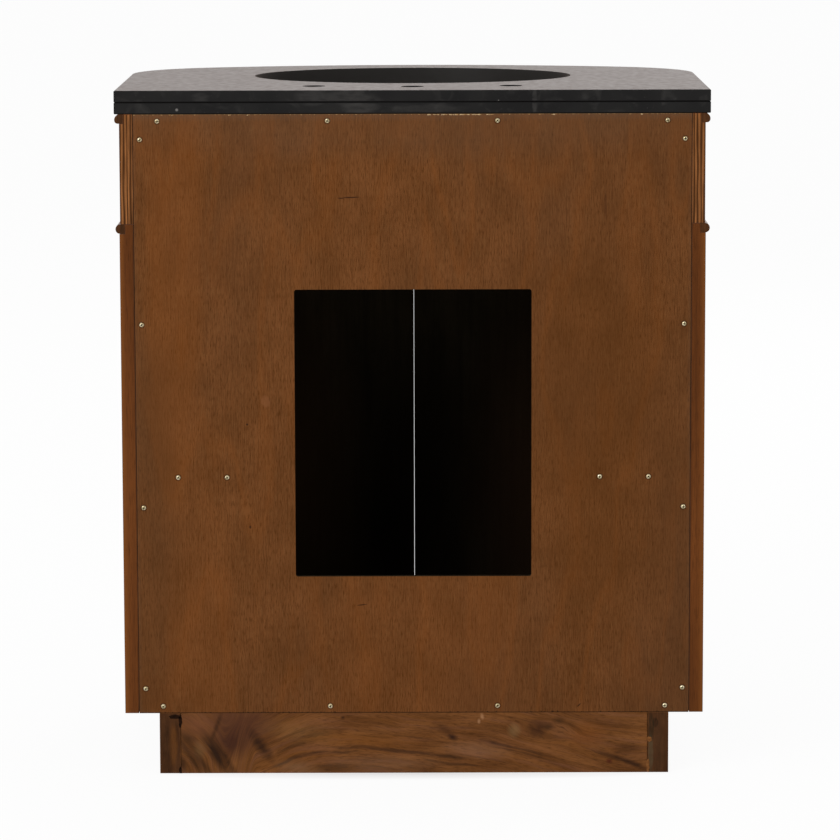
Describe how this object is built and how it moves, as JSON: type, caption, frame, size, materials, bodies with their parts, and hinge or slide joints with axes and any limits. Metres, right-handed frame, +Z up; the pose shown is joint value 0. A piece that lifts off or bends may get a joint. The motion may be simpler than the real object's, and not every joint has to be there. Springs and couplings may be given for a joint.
{
  "type": "bow-fronted sink chest",
  "caption": "Bow-fronted bathroom sink chest with a black stone top cut for a bowl and faucet, hinged doors, a recessed plinth and an open pipe cut-out in the back.",
  "frame": {"origin": "middle of the back, where the wall plane meets the floor", "axes": "+Z up, +Y out of the back towards the wall, so the doors face -Y; +X to the right of someone facing the doors"},
  "size_m": [0.762, 0.5816, 0.889],
  "materials": {
    "black_stone": "satin",
    "stained_hardwood": "satin",
    "stained_plywood": "satin",
    "figured_hardwood": "satin",
    "plain_softwood": "matte",
    "hinge_brass": "satin",
    "knob_brass": "satin",
    "plated_steel": "satin",
    "catch_plastic": "matte",
    "magnet_steel": "satin"
  },
  "bodies": {
    "case": {"back_batten_left": "plain_softwood", "back_batten_right": "plain_softwood", "back_panel": "stained_plywood", "back_panel_screws": "plated_steel", "bottom_panel": "stained_plywood", "catch_body": "catch_plastic", "catch_magnets": "magnet_steel", "catch_screws": "plated_steel", "cleat_screws_left": "plated_steel", "cleat_screws_right": "plated_steel", "corner_stile_left": "stained_hardwood", "corner_stile_right": "stained_hardwood", "frieze_front": "stained_plywood", "frieze_side_left": "stained_plywood", "frieze_side_right": "stained_plywood", "front_gusset_left": "plain_softwood", "front_gusset_right": "plain_softwood", "head_rail": "stained_hardwood", "hinge_jamb_leaves_left": "hinge_brass", "hinge_jamb_leaves_right": "hinge_brass", "hinge_jamb_screws_left": "plated_steel", "hinge_jamb_screws_right": "plated_steel", "hinge_pins_left": "hinge_brass", "hinge_pins_right": "hinge_brass", "lower_bead": "stained_hardwood", "lower_slab": "black_stone", "plinth_back": "figured_hardwood", "plinth_blocks": "plain_softwood", "plinth_front": "figured_hardwood", "plinth_screws": "plated_steel", "plinth_side_left": "figured_hardwood", "plinth_side_right": "figured_hardwood", "shelf_cleat_left": "plain_softwood", "shelf_cleat_right": "plain_softwood", "shelf_left": "stained_plywood", "shelf_right": "stained_plywood", "side_panel_left": "stained_hardwood", "side_panel_right": "stained_hardwood", "sill_rail": "stained_hardwood", "top_rear_rail": "plain_softwood", "top_side_rail_left": "plain_softwood", "top_side_rail_right": "plain_softwood", "top_slab": "black_stone", "upper_bead": "stained_hardwood"},
    "door_leaf_left": {"door_left": "stained_hardwood", "hinge_door_leaves_left": "hinge_brass", "hinge_door_screws_left": "plated_steel", "knob_bolt_left": "plated_steel", "knob_left": "knob_brass", "strike_plate_left": "plated_steel", "strike_screw_left": "plated_steel"},
    "door_leaf_right": {"door_right": "stained_hardwood", "hinge_door_leaves_right": "hinge_brass", "hinge_door_screws_right": "plated_steel", "knob_bolt_right": "plated_steel", "knob_right": "knob_brass", "strike_plate_right": "plated_steel", "strike_screw_right": "plated_steel"}
  },
  "joints": [
    {"name": "door_swing_left", "type": "hinge", "parent": "case", "child": "door_leaf_left", "pos_m": [-0.2685, -0.51097, 0.394], "axis": [0, 0, -1], "range_deg": [0, 110]},
    {"name": "door_swing_right", "type": "hinge", "parent": "case", "child": "door_leaf_right", "pos_m": [0.2685, -0.51097, 0.394], "axis": [0, 0, 1], "range_deg": [0, 110]}
  ]
}
